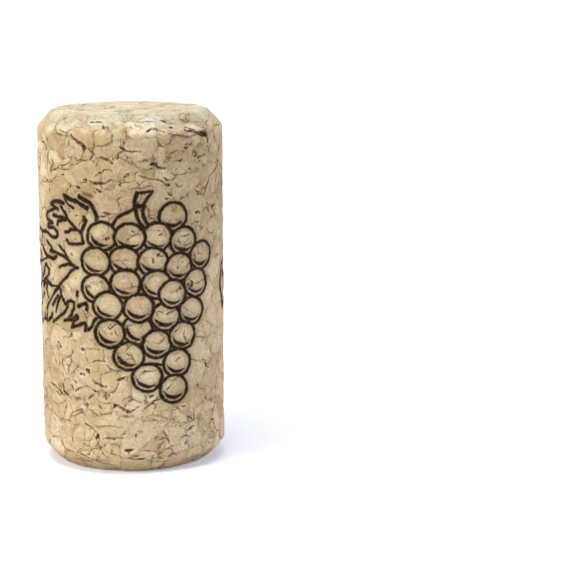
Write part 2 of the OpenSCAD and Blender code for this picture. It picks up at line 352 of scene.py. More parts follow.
# Shut seams and scratches that show tan
CREASES = [
    [(-10.1, 41.6, .05), (-9.1, 41.5, .08), (-7.4, 41.4, .09), (-6.4, 41.1, .05)],
    [(-2, 42.6, .07), (-1.4, 42.2, .08), (-1.1, 41.7, .08), (-1.1, 41, .1)],
    [(-1.1, 41, .1), (-2, 40.5, .08), (-3, 40.3, .06), (-3.9, 40.1, .08)],
    [(-4.8, 40, .07), (-4.9, 39.4, .08), (-5.3, 38.7, .1), (-5.7, 38.5, .08)],
    [(-3.2, 38.9, .07), (-2.6, 39.1, .06)], [(-0.2, 40.3, .05), (-0.1, 41.2, .06), (-0.1, 42.2, .05)],
    [(-9.2, 37.3, .08), (-7.6, 37.4, .1)], [(-10, 38.4, .1), (-10.3, 37.6, .16), (-10.3, 36.4, .08)],
    [(-11.8, 39.5, .05), (-12.6, 38.7, .07), (-12.8, 37.8, .05)],
    [(-13, 35.6, .1), (-11.8, 35.5, .08), (-10.3, 35.8, .08)],
    [(-2.1, 37.6, .05), (-1.4, 37.8, .06), (-1.1, 37.4, .04)],
    [(-5.4, 36, .06), (-4.6, 36, .08), (-3.2, 35.4, .06), (-2.9, 35, .08)],
    [(5.5, 41.8, .05), (6.2, 41.5, .1), (6.9, 41.5, .14), (7.4, 41.3, .1), (9.7, 41.3, .05)],
    [(5.9, 41.4, .08), (5.8, 40.8, .14), (5, 40.4, .05)],
    [(2.1, 38.6, .12), (2.8, 38.7, .08), (3.5, 39, .08), (4.1, 38.9, .04)],
    [(9, 39, .06), (9, 39.4, .08), (9.4, 39.5, .07), (9.7, 39.2, .08)],
    [(8.2, 40.2, .05), (8.9, 40.5, .08), (9.4, 40.8, .05)],
    [(4.3, 37.6, .07), (4.8, 37.2, .06), (5.2, 36.6, .06)],
    [(7.5, 38.5, .05), (7, 38, .06), (7, 37.6, .04)],
    [(11.3, 34.8, .06), (11.2, 34, .05), (10.5, 34.1, .05), (11.2, 35.1, .03)],
    [(-4.9, 34.6, .2), (-3.6, 34.3, .08)], [(2.5, 33.2, .1), (3.2, 32.6, .12), (3, 31.8, .08)],
    [(-5.1, 15.7, .06), (-2.6, 15.8, .06)],
    [(-5.1, 15.6, .05), (-5.2, 14.8, .07), (-4.9, 14.2, .07), (-4.6, 13.9, .07)],
    [(-2.7, 15.8, .05), (-2.6, 15.2, .07), (-2.8, 14.5, .06)], [(-1.8, 13.3, .07), (-1, 13.2, .06)],
    [(-4.7, 12.4, .05), (-4.1, 11.9, .07), (-3.4, 11.6, .07)],
    [(-6.1, 14.1, .07), (-6.4, 13.4, .1), (-6.8, 12.8, .08), (-7.1, 11.9, .06)],
    [(-8.6, 13.8, .05), (-8.3, 13.4, .08), (-7.9, 13.3, .06), (-7.7, 12.4, .06)],
    [(-6.4, 10.6, .06), (-5.8, 10.9, .08), (-4.7, 11, .07), (-4.1, 10.8, .1), (-3.8, 10.4, .08)],
    [(-3.8, 10.4, .06), (-2.9, 10.5, .08), (-2.4, 10.2, .06)],
    [(0.6, 35.4, .05), (2, 35.4, .08), (3.2, 35.6, .07), (3.9, 35.4, .05)],
    [(-8.7, 16.5, .05), (-7.4, 17.1, .06)],
    [(-8, 9.6, .08), (-7.5, 9, .09), (-7, 8.7, .06), (-6.5, 8.1, .05)],
    [(-7.2, 7, .12), (-6.5, 7.4, .1), (-5.6, 7.8, .1)], [(-7.6, 6.7, .08), (-7.3, 6.9, .1)],
    [(-5, 8.2, .05), (-4.2, 7.9, .08), (-3.7, 7.5, .08), (-3.2, 7.4, .04)],
    [(-3.1, 7.6, .08), (-2.4, 7.8, .1), (-1.9, 7.8, .1), (-1.8, 8.4, .06), (-2.2, 9.2, .05)],
    [(-3, 10.2, .08), (-2.7, 10.3, .1), (-2.5, 10, .1), (-2.8, 9.8, .08)],
    [(-3.7, 6, .05), (-2.7, 6.1, .08), (-1.4, 6.3, .07), (-0.6, 6.1, .04)],
    [(-0.6, 9.6, .07), (0.2, 9.8, .08), (1, 10.2, .05)],
    [(2.2, 9.4, .08), (2.5, 9.5, .06), (2.7, 9.2, .08), (2.3, 9.1, .06)],
    [(2.3, 8.6, .08), (3, 8.9, .1), (3.7, 9.3, .06)], [(3.3, 7.6, .05), (3.4, 8.2, .1), (3.9, 8.9, .05)],
    [(2.3, 7.2, .06), (3.2, 7.7, .09), (3.8, 7.5, .07), (4.4, 7.3, .06), (5.9, 6.5, .05)],
    [(2, 6.9, .09), (2.1, 6.8, .06)], [(1.4, 5.6, .08), (1.9, 5.5, .06)],
    [(3.4, 4.6, .1), (3.8, 4.9, .12), (4.6, 4.6, .12), (3.4, 4.3, .06)],
    [(6.9, 4.3, .05), (7.6, 4.4, .09), (8.3, 4.3, .05)],
    [(3.4, 3.2, .06), (3.8, 3.7, .08), (4.6, 4, .05)],
    [(4.2, 2.6, .05), (5.4, 3.4, .07), (6.2, 3.6, .04)],
    [(-8.9, 2.8, .06), (-8, 2.5, .1), (-7.2, 2.3, .07)],
    [(-3.6, 3.6, .05), (-3.1, 2.8, .07), (-2.7, 2.3, .07), (-2.1, 2.2, .04)],
    [(-5.8, 3.8, .05), (-4.9, 3.3, .08), (-4.3, 2.6, .05)],
    [(-11.4, 5, .05), (-10.9, 5.6, .08), (-11.6, 6.3, .08), (-11.9, 6.8, .05)],
    [(9.4, 10.8, .06), (9.8, 10.4, .08), (9.9, 9.9, .05)],
    [(-7.9, 1.5, .06), (-6.6, 1.3, .1), (-5.2, 1.2, .07)],
    [(-4.6, 1.6, .06), (-3.6, 1.2, .08), (-2.9, 1, .05)],
    [(2.6, 1.8, .08), (3.6, 2, .1), (4.6, 2, .05)],
    [(9, 1.6, .07), (10.2, 1.8, .1), (11, 2, .05)],
    [(7.8, 1.2, .05), (9.2, 1.2, .1), (10.2, 1.4, .05)],
    [(-0.2, 43.3, .05), (2.2, 43.2, .08), (4.9, 43.2, .09), (7.2, 43.4, .05)],
    [(8.4, 43.2, .1), (9.4, 43, .06), (11.6, 42.8, .08)], [(-9.5, 43.2, .08), (-8.7, 43.5, .06)],
]

# Yellower granules, and stains: arc, z, half the length, half the height, lean in degrees,
# strength
OCHRE_STAINS = [
    (-3.3, 40.9, 1.5, .9, -8, .6), (-2.5, 38.8, 1.2, .6, -10, .6), (-8, 36.8, 1.9, .9, 0, .5),
    (-4.2, 35.2, 1.2, .6, -15, .5), (1.3, 40.7, 1, .7, 0, .4), (5.7, 39.6, 1.4, .8, 15, .4),
    (-3.9, 15, 1.2, .8, 0, .6), (-2.7, 12.8, 1.9, .9, -15, .6), (-3.4, 9.2, 1.4, 1.1, 0, .5),
    (-3.4, 3.1, 2.4, 1.1, 0, .5), (2.9, 8.7, 1.2, .5, 10, .4), (5.6, 8.2, 1.5, .5, 5, .4),
]
AMBER_STAINS = [
    (0.4, 42.3, .6, .34, 0, .95), (1.1, 42.5, .35, .15, 20, .7), (0.1, 7.55, 1.1, .2, -3, 1.3),
    (-2.6, 1.8, .6, .35, 0, .6), (0.8, 2.6, .6, .18, 5, 1.1), (-2.7, 10.1, .3, .25, 0, .5),
    (1.1, 5.1, .4, .35, 0, .6), (-4.3, 27.1, .3, .22, 0, .5), (-3.1, 27, .35, .25, 10, .7),
    (-1.9, 29.4, .5, .3, 0, .4), (8.1, 23.8, .45, .25, 20, .8), (-1.3, 42.9, .3, .5, 20, .5),
    (1.9, 42.9, .9, .12, -15, .5), (-8, 41.5, .8, .12, -5, .6), (9.2, 43.2, .7, .25, 10, .9),
    (-5.4, 43, .6, .4, 0, .25), (3, 32.7, .3, .7, 0, .35), (-3.6, 32.2, .4, .9, 20, .25),
]
BARK_STAINS = [
    (-9.7, 15.3, .35, .3, -30, .9), (-10.9, 12.3, 1.1, .3, -15, .4),
    (3.8, 38.4, .65, .55, 0, .9), (-9, 10.1, 1.1, .65, -35, .85), (9.4, 39.2, .45, .4, 0, .35),
    (-10.1, 37.7, .5, .9, 10, .35), (11.1, 41.4, 1.1, .42, -8, .8), (-10.6, 26.5, .9, .4, 0, .6),
    (6.6, 41.3, .8, .35, 0, .3), (8.6, 23.1, .5, .45, 0, .5), (12.4, 8.4, .8, .7, 30, .25),
    (-7.6, 32.8, .3, .2, 0, .2), (11.6, 13.2, .9, .6, 0, .25), (8.6, 32.1, .3, .25, 0, .5),
]


def on_surface(places):
    """Points on the smooth cork, in mm, at these arcs and heights."""
    places = np.array(places, float)
    radii, heights = section()
    half = len(heights) // 2
    low, high = slice(0, half), slice(half, None)
    radius = np.where(places[:, 1] < LENGTH / 2,
                      np.interp(places[:, 1], heights[low], radii[low]),
                      np.interp(places[:, 1], heights[high], radii[high]))
    turn = places[:, 0] / SIDE_R
    return np.stack([radius * np.sin(turn), -radius * np.cos(turn), places[:, 1]], axis=1)


def shaken(points, per_mm, by):
    """The points, each moved a little in a way that changes smoothly over the surface."""
    return points + by * np.array([noise.noise_vector(Vector(p)) for p in points * per_mm])


def on_side(lines):
    """Strokes given on the side as arc, height and half width, as points and half widths."""
    return [(on_surface([p[:2] for p in line]), [p[2] for p in line]) for line in lines]


STROKE_REACH_MM = 1.0  # past this, a point is not measured from a stroke


def inside_strokes(points, strokes):
    """How far each point is inside the nearest of these tapered strokes, in mm."""
    inside = np.full(len(points), -STROKE_REACH_MM)
    for ends, half_widths in strokes:
        for a, b, p, q in zip(ends, ends[1:], half_widths, half_widths[1:]):
            reach = np.linalg.norm(b - a) / 2 + STROKE_REACH_MM
            near = np.flatnonzero(np.abs(points - (a + b) / 2).max(axis=1) < reach)
            off = points[near] - a
            along = np.clip(off @ (b - a) / ((b - a) @ (b - a)), 0, 1)
            far = np.linalg.norm(off - along[:, None] * (b - a), axis=1)
            half_width = p + (q - p) * along
            inside[near] = np.maximum(inside[near], half_width - far)
    return inside


def inside_stains(points, stains):
    """How strongly each point is stained. A stain is full to 0.4 of its size, and ends at 1.4."""
    amount = np.zeros(len(points))
    for arc, z, half_length, half_height, lean, strength in stains:
        middle = on_surface([(arc, z)])[0]
        turn, lean = arc / SIDE_R, math.radians(lean)
        across = np.array([math.cos(turn), math.sin(turn), 0])
        u = across * math.cos(lean) + np.array([0, 0, math.sin(lean)])
        v = -across * math.sin(lean) + np.array([0, 0, math.cos(lean)])
        off = points - middle
        reach = np.sqrt((off @ u / half_length) ** 2 + (off @ v / half_height) ** 2 + 1e-9)
        far = np.linalg.norm(off, axis=1) > half_length + half_height + 2
        share = np.clip(1.4 - reach, 0, 1)
        amount = np.maximum(amount, np.where(far, 0, share * strength))
    return amount


# The open pores, as in the CAD: turn from the front in degrees, height as a share of the
# straight wall (or distance from the middle as a share of the flat face's radius), length,
# width, and lean in degrees. Only the back's are here: the front's marks are the cracks above.
SIDE_PORES = [
    (84, .83, 1.4, .5, 25), (97, .2, 1, .6, -60), (112, .51, 1.7, .45, 15),
    (128, .93, .9, .6, 70), (141, .09, 1.5, .5, -75), (158, .7, 1.2, .4, 30),
    (173, .36, .8, .55, -40), (-171, .95, 1.6, .5, -65), (-160, .12, 1.1, .45, 50),
    (-143, .58, 1.4, .4, 5), (-129, .86, .8, .6, -30), (-114, .05, 1.7, .5, 82),
    (-101, .4, 1.2, .45, -10), (-86, .74, .9, .5, 45),
]
WALL_Z = 2.56  # mm, where the straight wall starts
WALL_LENGTH = 38.88
TOP_PORES = [
    (-35, .8, 1.2, .5, 70), (25, .45, 1.6, .6, 20), (80, .75, 1, .5, -40),
    (150, .3, 1.3, .45, 60), (205, .7, 1.8, .5, -75), (275, .55, .9, .6, 10),
]
BASE_PORES = [
    (10, .6, 1.5, .5, 65), (70, .35, 1, .6, -25), (135, .8, 1.4, .45, 80),
    (195, .5, 1.1, .55, 15), (250, .75, 1.7, .5, -60), (320, .3, .9, .5, 40),
]
FLAT_R = 9.07
TAPER = np.array([-1, -.5, 0, .5, 1])  # places along a pore, from one tip to the other


def pores():
    """The pores of the side and of both ends, as tapered strokes."""
    strokes = []
    for turn, share, length, width, lean in SIDE_PORES:
        arc, z = math.radians(turn) * SIDE_R, WALL_Z + share * WALL_LENGTH
        run = np.array([math.sin(math.radians(lean)), math.cos(math.radians(lean))]) * length / 2
        places = np.array([arc, z]) + TAPER[:, None] * run
        strokes.append((on_surface(places), width / 2 * (1 - TAPER ** 2)))
    for z, rows in ((LENGTH, TOP_PORES), (0, BASE_PORES)):
        for turn, share, length, width, lean in rows:
            turn, lean = math.radians(turn), math.radians(turn + lean)
            middle = np.array([math.cos(turn), math.sin(turn), 0]) * share * FLAT_R + [0, 0, z]
            run = np.array([math.cos(lean), math.sin(lean), 0]) * length / 2
            strokes.append((middle + TAPER[:, None] * run, width / 2 * (1 - TAPER ** 2)))
    return strokes


# ---- the cork's mesh

# The net of faces stays under 200,000 triangles.
RINGS_MM = 0.3  # between the rings of the side
FACE_RINGS_MM = 0.45  # between the rings of the two ends
TURNS = 256  # faces round a ring
NEAR_MARK_MM = 0.28  # how far round each mark the net is finer


def rounded(a, b, c, radius, steps=12):
    """Points of the arc that rounds the corner b on the way from a to c."""
    a, b, c = (np.array(p, float) for p in (a, b, c))
    to_a = (a - b) / np.linalg.norm(a - b)
    to_c = (c - b) / np.linalg.norm(c - b)
    half = math.acos(to_a @ to_c) / 2
    middle = (to_a + to_c) / np.linalg.norm(to_a + to_c)
    centre = b + middle * radius / math.sin(half)
    first = b + to_a * radius / math.tan(half) - centre
    last = b + to_c * radius / math.tan(half) - centre
    sweep = math.pi - 2 * half
    shares = np.linspace(0, 1, steps + 1)[:, None]
    arc = np.sin((1 - shares) * sweep) * first + np.sin(shares * sweep) * last
    return centre + arc / math.sin(sweep)


def section():
    """Radius and height along the cork's surface, from the base's middle to the top's."""
    face_r = SIDE_R - CHAMFER_DEPTH
    corners = [(0, 0), (face_r, 0), (SIDE_R, CHAMFER_LENGTH)]
    corners += [(SIDE_R, LENGTH - CHAMFER_LENGTH), (face_r, LENGTH), (0, LENGTH)]
    line = [np.array([corners[0]])]
    for a, b, c in zip(corners, corners[1:], corners[2:]):
        line.append(rounded(a, b, c, EDGE_R))
    line.append(np.array([corners[-1]]))
    line = np.vstack(line)
    run = np.concatenate([[0], np.cumsum(np.linalg.norm(np.diff(line, axis=0), axis=1))])
    flat = line[1][0]
    at_face = np.arange(FACE_RINGS_MM, flat, FACE_RINGS_MM)
    side = run[-1] - 2 * flat
    at_side = flat + np.linspace(0, side, round(side / RINGS_MM) + 1)
    at = np.concatenate([at_face, at_side, run[-1] - at_face[::-1]])
    return np.interp(at, run, line[:, 0]), np.interp(at, run, line[:, 1])


# The bake's map, in shares of the picture: the side's strip, and the discs of the two ends
STRIP_WIDTH, STRIP_LOW, STRIP_HEIGHT = 0.98, 0.04, 0.58
CHAMFER_HEIGHT = 0.02
TOP_DISC, BASE_DISC, DISC_RADIUS = (0.2, 0.84), (0.6, 0.84), 0.17


def unroll(mesh, points):
    """The map that a bake uses: the side unrolled into a strip, with the two ends above it."""
    corners = np.empty(len(mesh.loops), int)
    mesh.loops.foreach_get("vertex_index", corners)
    sizes = np.empty(len(mesh.polygons), int)
    mesh.polygons.foreach_get("loop_total", sizes)
    face = np.repeat(np.arange(len(sizes)), sizes)
    place = points[corners]
    middle = np.stack([np.bincount(face, place[:, k]) for k in range(3)], axis=1) / sizes[:, None]
    radius = np.hypot(middle[:, 0], middle[:, 1])[face]
    height = middle[face, 2]
    share = np.arctan2(place[:, 0], -place[:, 1]) / (2 * math.pi)
    centre_share = np.arctan2(middle[face, 0], -middle[face, 1]) / (2 * math.pi)
    share -= np.round(share - centre_share)
    flat = radius < SIDE_R - CHAMFER_DEPTH - 0.4
    upper = height > LENGTH / 2
    uv = np.stack([0.5 + share * STRIP_WIDTH, STRIP_LOW + place[:, 2] / LENGTH * STRIP_HEIGHT], axis=1)
    slope = (SIDE_R - np.hypot(place[:, 0], place[:, 1])) / CHAMFER_DEPTH
    uv[:, 1] += np.where(upper, slope, -slope) * CHAMFER_HEIGHT
    disc = np.where(upper[:, None], TOP_DISC, BASE_DISC)
    ends = disc + place[:, :2] * DISC_RADIUS / SIDE_R
    uv[flat] = ends[flat]
    mesh.uv_layers.new(name="OFBake").data.foreach_set("uv", uv.ravel())


def make_blank():
    """The cork's smooth form as an even net of faces, finer near the marks."""
    radii, heights = section()
    turn = np.arange(TURNS) * 2 * math.pi / TURNS
    x = np.outer(radii, np.cos(turn))
    y = np.outer(radii, np.sin(turn))
    z = np.repeat(heights[:, None], TURNS, axis=1)
    points = np.stack([x, y, z], axis=-1).reshape(-1, 3)
    points = np.vstack([points, [[0, 0, 0], [0, 0, LENGTH]]])
    rings = len(radii)
    low, high = rings * TURNS, rings * TURNS + 1
    faces = []
    for k in range(TURNS):
        j = (k + 1) % TURNS
        faces.append((low, j, k))
        for r in range(rings - 1):
            a, b = r * TURNS, (r + 1) * TURNS
            faces.append((a + k, a + j, b + j, b + k))
        top = (rings - 1) * TURNS
        faces.append((high, top + k, top + j))
    mesh = bpy.data.meshes.new("cork_looks")
    mesh.from_pydata((points * MM).tolist(), [], faces)
    open_marks, creases = on_side(CRACKS) + pores(), on_side(CREASES)
    near = inside_strokes(points, open_marks + creases) > -NEAR_MARK_MM
    net = bmesh.new()
    net.from_mesh(mesh)
    net.verts.ensure_lookup_table()
    chosen = [f for f in net.faces if len(f.verts) == 4 and any(near[v.index] for v in f.verts)]
    edges = list({e for f in chosen for e in f.edges})
    bmesh.ops.subdivide_edges(net, edges=edges, cuts=2, use_grid_fill=True)
    net.to_mesh(mesh)
    net.free()
    points = np.empty(len(mesh.vertices) * 3)
    mesh.vertices.foreach_get("co", points)
    points = points.reshape(-1, 3) / MM
    rest = mesh.attributes.new("rest", "FLOAT_VECTOR", "POINT")
    rest.data.foreach_set("vector", points.ravel())
    loose = shaken(shaken(points, 0.9, 0.22), 3.1, 0.1)
    fields = {
        "gape": inside_strokes(loose, open_marks),
        "crease": inside_strokes(loose, creases),
        "ochre": inside_stains(loose, OCHRE_STAINS),
        "amber": inside_stains(loose, AMBER_STAINS),
        "bark": inside_stains(loose, BARK_STAINS),
    }
    for name, values in fields.items():
        mesh.attributes.new(name, "FLOAT", "POINT").data.foreach_set("value", values)
    mesh.polygons.foreach_set("use_smooth", [True] * len(mesh.polygons))
    unroll(mesh, points)
    piece = bpy.data.objects.new("cork_looks", mesh)
    bpy.context.scene.collection.objects.link(piece)
    return piece


def relief_tree():
    """How far each point stands in from the smooth form: seams, cracks, pores and wear."""
    tree = bpy.data.node_groups.new("relief", "GeometryNodeTree")
    tree.interface.new_socket("Geometry", in_out="INPUT", socket_type="NodeSocketGeometry")
    tree.interface.new_socket("Geometry", in_out="OUTPUT", socket_type="NodeSocketGeometry")
    n = Nodes(tree)
    start = n.add("NodeGroupInput")
    place = n.scaled(n.out(n.add("GeometryNodeInputPosition")), 1 / MM)
    grain = granules(n, place)
    valley = n.smooth(grain["seam"], 0.0, 0.45, -1.0, 0.0)
    depth = valley * (openness(n, place) * 0.12 + 0.04)
    depth = depth + (grain["seed"][1] - 0.8) * 0.06
    depth = depth + (n.noise(place, 0.12, 2.0) - 0.6) * 0.25
    gape = n.add("GeometryNodeInputNamedAttribute", {"Name": "gape"}, data_type="FLOAT")
    depth = depth - n.smooth(n.out(gape), -0.08, 0.2, 0.0, 0.3)
    depth = n.math("MINIMUM", depth, 0.05)
    normal = n.out(n.add("GeometryNodeInputNormal"))
    offset = n.vector("MULTIPLY", normal, n.joined(depth, depth, depth))
    offset = n.scaled(offset, MM)
    move = n.add("GeometryNodeSetPosition", {"Offset": offset})
    tree.links.new(start.outputs[0], move.inputs["Geometry"])
    end = n.add("NodeGroupOutput")
    tree.links.new(move.outputs[0], end.inputs[0])
    return tree


def add_relief(piece):
    """Moves the mesh's points by the relief, and keeps the result as the mesh."""
    modifier = piece.modifiers.new("relief", "NODES")
    modifier.node_group = relief_tree()
    bpy.context.view_layer.update()
    graph = bpy.context.evaluated_depsgraph_get()
    shown = piece.evaluated_get(graph)
    mesh = bpy.data.meshes.new_from_object(shown, preserve_all_data_layers=True, depsgraph=graph)
    piece.modifiers.clear()
    piece.data = mesh
    mesh.name = "cork_looks"


# ---- the print

# The print is drawn on the side in mm: arc from the front towards +X, and height. Its circles
# were stretched by this much round the cork as it was rolled on.
PRINT_STRETCH = 1.07
# The print comes twice round the cork. It reaches between these turns, in degrees.
PRINT_START, PRINT_END = -114, 66
LINE = 0.22  # mm, half the width of a berry's outline
FAR_MM = 9.0  # a distance that counts as away from every line
BERRY_R = 1.72
SHADE_R = 1.33  # the crescent of shade lies inside this circle, and outside a larger, lit one
LIT_R = 2.2
# Berries from the back to the front of the bunch: arc, height, the side that its crescent of
# shade is on, in degrees, and how thick the crescent is
BERRIES = [
    (6.2, 31.8, 265, .5), (-2.7, 29.6, 238, .54), (4.1, 29.5, 255, .38), (0.7, 29.5, 258, .5),
    (7.6, 28.7, 255, .54), (10.4, 26.7, 262, .48),
    (0, 26.7, 250, .48), (-3.6, 26.5, 250, .44), (3.5, 26.5, 255, .52), (6.9, 25.6, 255, .46),
    (9.5, 23.4, 268, .44),
    (3.9, 23.7, 235, .38), (0.1, 23.9, 250, .38), (-3.6, 23.2, 232, .5), (5, 19.7, 258, .54),
    (6, 22.4, 260, .42), (-2.1, 21.1, 240, .46), (1.5, 18.2, 222, .52), (1.7, 20.9, 252, .52),
    (8.7, 20, 256, .48),
    (-1.9, 17.8, 240, .54), (3.9, 16.4, 256, .54), (7.3, 17.1, 248, .5),
    (0.4, 15, 242, .58), (6.5, 13.8, 255, .52), (2.6, 12.3, 246, .5), (6, 10.6, 258, .58),
]
# Lines of the stem and the leaf: half the width, then the arc and height of each point
STEM = [
    (.29, 1.7, 34.85, 1.5, 34.2, 1.4, 33.4), (.25, 1.4, 33.4, 1.5, 32.5, 1.7, 31.8, 2, 31.2, 2.45, 30.7),
    (.22, 3.5, 34.95, 3.2, 34.5, 2.7, 33.95, 2.45, 33.35, 2.3, 32.6),
    (.24, 2.3, 32.6, 2.4, 32, 2.7, 31.3, 3.15, 30.8), (.2, 1.7, 34.85, 3.5, 34.95),
    (.3, 1.4, 33.3, 2.5, 33.3),
    (.23, 1.3, 33, 0.6, 32.55, -0.2, 32.25, -0.75, 31.8, -1.15, 31.3, -1.35, 30.9),
    (.22, 2.2, 13.8, 3, 14, 4.4, 13.7),
]
LEAF = [
    # The edge and its teeth
    (.3, -8, 34.2, -7.4, 34, -6.7, 33.8, -6, 33.65, -5.4, 33.3, -4.6, 32.95),
    (.31, -5.6, 34.3, -5.1, 34, -4.6, 33.8, -4.05, 33.4, -3.7, 32.95),
    (.27, -3.7, 32.95, -3.45, 32.5, -3.3, 32, -3.25, 31.4), (.19, -7.9, 33.8, -7.2, 33.15, -6.6, 32.8),
    (.29, -10.7, 32.9, -10.3, 33.15, -9.8, 33.3, -9, 33.4, -8.2, 33.3),
    (.26, -10.7, 32.9, -9.9, 32.65, -9.25, 32.45),
    (.23, -9.25, 32.45, -10.1, 32.4, -11, 32.1, -11.6, 31.8, -11.9, 31.3, -11.6, 30.95, -10.8, 30.8,
     -10.4, 30.6),
    (.25, -10.4, 30.6, -11.3, 30.4, -11.6, 30.1, -11.4, 29.95, -10.6, 30.05, -9.9, 30, -9.4, 29.7,
     -9.2, 29.4, -9.5, 29, -9.9, 28.85, -10.8, 29, -11.5, 29.3, -12.2, 29.4, -13.6, 29.2),
    (.22, -13.8, 29.2, -13.5, 28.6, -14, 27.9), (.25, -13.9, 27.5, -12.9, 26.9, -12.3, 26.4, -11.6, 26.2),
    (.26, -12.6, 25.1, -12.25, 25.2, -11.55, 24.8, -11.55, 24.2, -12.2, 23.7, -13.3, 23.15, -13.6, 22.4),
    (.22, -12.6, 25.1, -13.3, 24.25, -13.85, 23.4), (.2, -12.3, 22, -12, 21.2),
    (.25, -12.7, 19, -12.6, 18.1), (.26, -10.9, 19.3, -11.4, 18.75, -12.1, 18.3),
    (.21, -7.8, 20.6, -8.1, 20.1, -8.7, 19.6, -9.4, 19.1, -10, 18.7, -10.9, 18.3),
    (.23, -8.1, 20.9, -7.8, 21.2, -7.2, 21.4, -6.7, 21.2, -6.7, 20.6, -7, 20.1, -7.1, 19.7),
    (.23, -7.1, 19.7, -7.4, 19.4, -7.8, 19, -8.4, 18.8),
    (.23, -7.8, 19, -7.2, 19, -6.7, 19.4, -6.3, 19.7, -6.15, 19.35, -6.7, 19, -6.95, 18.45, -7.1, 18.15),
    (.25, -7.1, 18.15, -6.3, 18.4, -5.8, 18.7, -5.2, 18.8, -5, 18.5, -5.1, 18, -4.5, 18.2, -4.2, 18.5,
     -3.85, 19.25, -3.4, 19.7),
    (.25, -6.2, 22.6, -6.2, 22.15), (.28, -6, 20.85, -5.4, 21.2, -4.9, 21.3, -4.75, 20.9, -4.9, 20.55),
    # The veins
    (.23, -8.6, 32.85, -8.2, 32.35, -7.9, 31.85, -7.6, 31.35, -7, 31.05, -6.4, 30.55, -5.9, 30.15,
     -5.4, 29.7, -5.3, 29.2, -5.2, 28.7),
    (.26, -10.3, 31.6, -9.6, 31.45, -8.9, 31.5, -8, 31.4, -7.6, 31.3),
    (.23, -9.5, 30.55, -9.4, 30.9, -8.7, 31.1, -7.8, 31.25),
    (.25, -5.05, 31.8, -4.7, 31.4, -4.85, 30.95, -5.1, 30.6, -5.35, 30.1, -5.4, 29.7),
    (.15, -5.05, 31.8, -5.15, 31.4, -4.9, 31.2), (.25, -7.9, 29.8, -7.4, 29.85, -7, 30.15, -6.3, 30.2),
    (.21, -7.7, 28.8, -7.4, 28.45, -6.8, 28.4, -6, 28.5, -5.1, 28.7),
    (.25, -11.8, 28.2, -11.3, 27.85, -10.7, 27.45, -10.4, 27.2),
    (.24, -11.3, 27.15, -10, 27.15, -9.1, 26.9, -8.2, 26.75, -7.6, 26.4),
    (.27, -11.6, 26.4, -10.5, 26.2, -9.7, 26.6),
    (.21, -9, 27.95, -8.4, 27.5, -7.9, 27, -7.5, 26.4, -7, 25.95, -6.5, 25.65, -6, 25.6),
    (.23, -9.1, 25.3, -8.4, 25.65, -7.5, 25.9, -6.6, 25.75),
    (.23, -6, 25.6, -6.6, 25.4, -7.2, 24.95, -7.8, 24.35, -8.4, 23.8, -9, 23.3, -9.35, 22.9),
    (.25, -9.3, 22.9, -10, 22.3, -10.8, 21.55, -11.5, 20.8, -12.2, 20.1, -12.6, 19.6),
    (.23, -9.5, 21.75, -10.2, 21, -10.8, 20.4),
    (.21, -9.3, 22.9, -9, 22.4, -8.95, 21.8, -8.6, 21.3, -8.2, 20.85, -7.8, 20.9),
    (.2, -9.2, 21.6, -9.6, 20.9, -9.85, 20.2, -10, 19.7), (.28, -12.3, 23.3, -11.6, 22.95, -11.1, 22.8),
    (.3, -12.2, 22.9, -12.4, 22.2), (.16, -11.1, 22.8, -9.6, 22.9),
    # The lobe that reaches behind the cork
    (.2, -13.6, 29.2, -14.9, 29.5, -15.5, 28.7, -15.1, 27.8, -16.5, 28, -17.1, 27, -16.7, 26.2, -18, 26.1,
     -18.6, 25.4),
    (.34, -18.6, 25.4, -19.9, 24.3, -20.5, 23.2, -20.8, 22.4, -20.7, 21.4, -19.7, 19.3, -18.9, 20),
    (.2, -18.9, 20, -18.1, 18.6, -17.3, 19.3, -16.5, 17.9, -15.5, 18.7, -14.7, 17.5, -13.7, 18.4,
     -12.6, 18.1),
    (.18, -11.6, 26.2, -13.7, 25.5, -15.3, 25.3, -17.1, 24.4, -18.4, 23.3), (.14, -13.7, 25.5, -14.6, 26.7),
    (.14, -15.3, 25.3, -16.3, 23.9), (.17, -12.4, 22.8, -14, 22.9, -15.7, 22.2, -17.4, 21.2),
    (.14, -14, 22.9, -14.4, 24.2), (.16, -13.3, 21.6, -14.5, 20.6, -15.4, 19.6),
    (.2, -19.1, 23.9, -19.1, 23),
]


def make_group(name, inputs, outputs):
    """An empty node group with these sockets, each given as a name and a kind."""
    tree = bpy.data.node_groups.new(name, "ShaderNodeTree")
    for way, sockets in (("INPUT", inputs), ("OUTPUT", outputs)):
        for label, kind in sockets:
            tree.interface.new_socket(label, in_out=way, socket_type="NodeSocket" + kind)
    return Nodes(tree)


def stroke_group():
    """The smaller of a distance so far and the distance outside one straight stroke, in mm."""
    sockets = [("At", "Vector"), ("Start", "Vector"), ("Run", "Vector"), ("Width", "Float")]
    sockets.append(("Nearest", "Float"))
    n = make_group("stroke", sockets, [("Nearest", "Float")])
    given = n.add("NodeGroupInput")
    at, start, run, width, nearest = (n.out(given, k) for k in range(5))
    off = n.vector("SUBTRACT", at, start)
    reach = n.vector("DOT_PRODUCT", run, run, key="Value")
    along = n.math("DIVIDE", n.vector("DOT_PRODUCT", off, run, key="Value"), reach)
    along = n.math("MAXIMUM", n.math("MINIMUM", along, 1.0), 0.0)
    foot = n.vector("MULTIPLY", run, n.joined(along, along, 0.0))
    nearest = n.math("MINIMUM", nearest, n.distance(off, foot) - width)
    n.add("NodeGroupOutput", {0: nearest})
    return n.tree


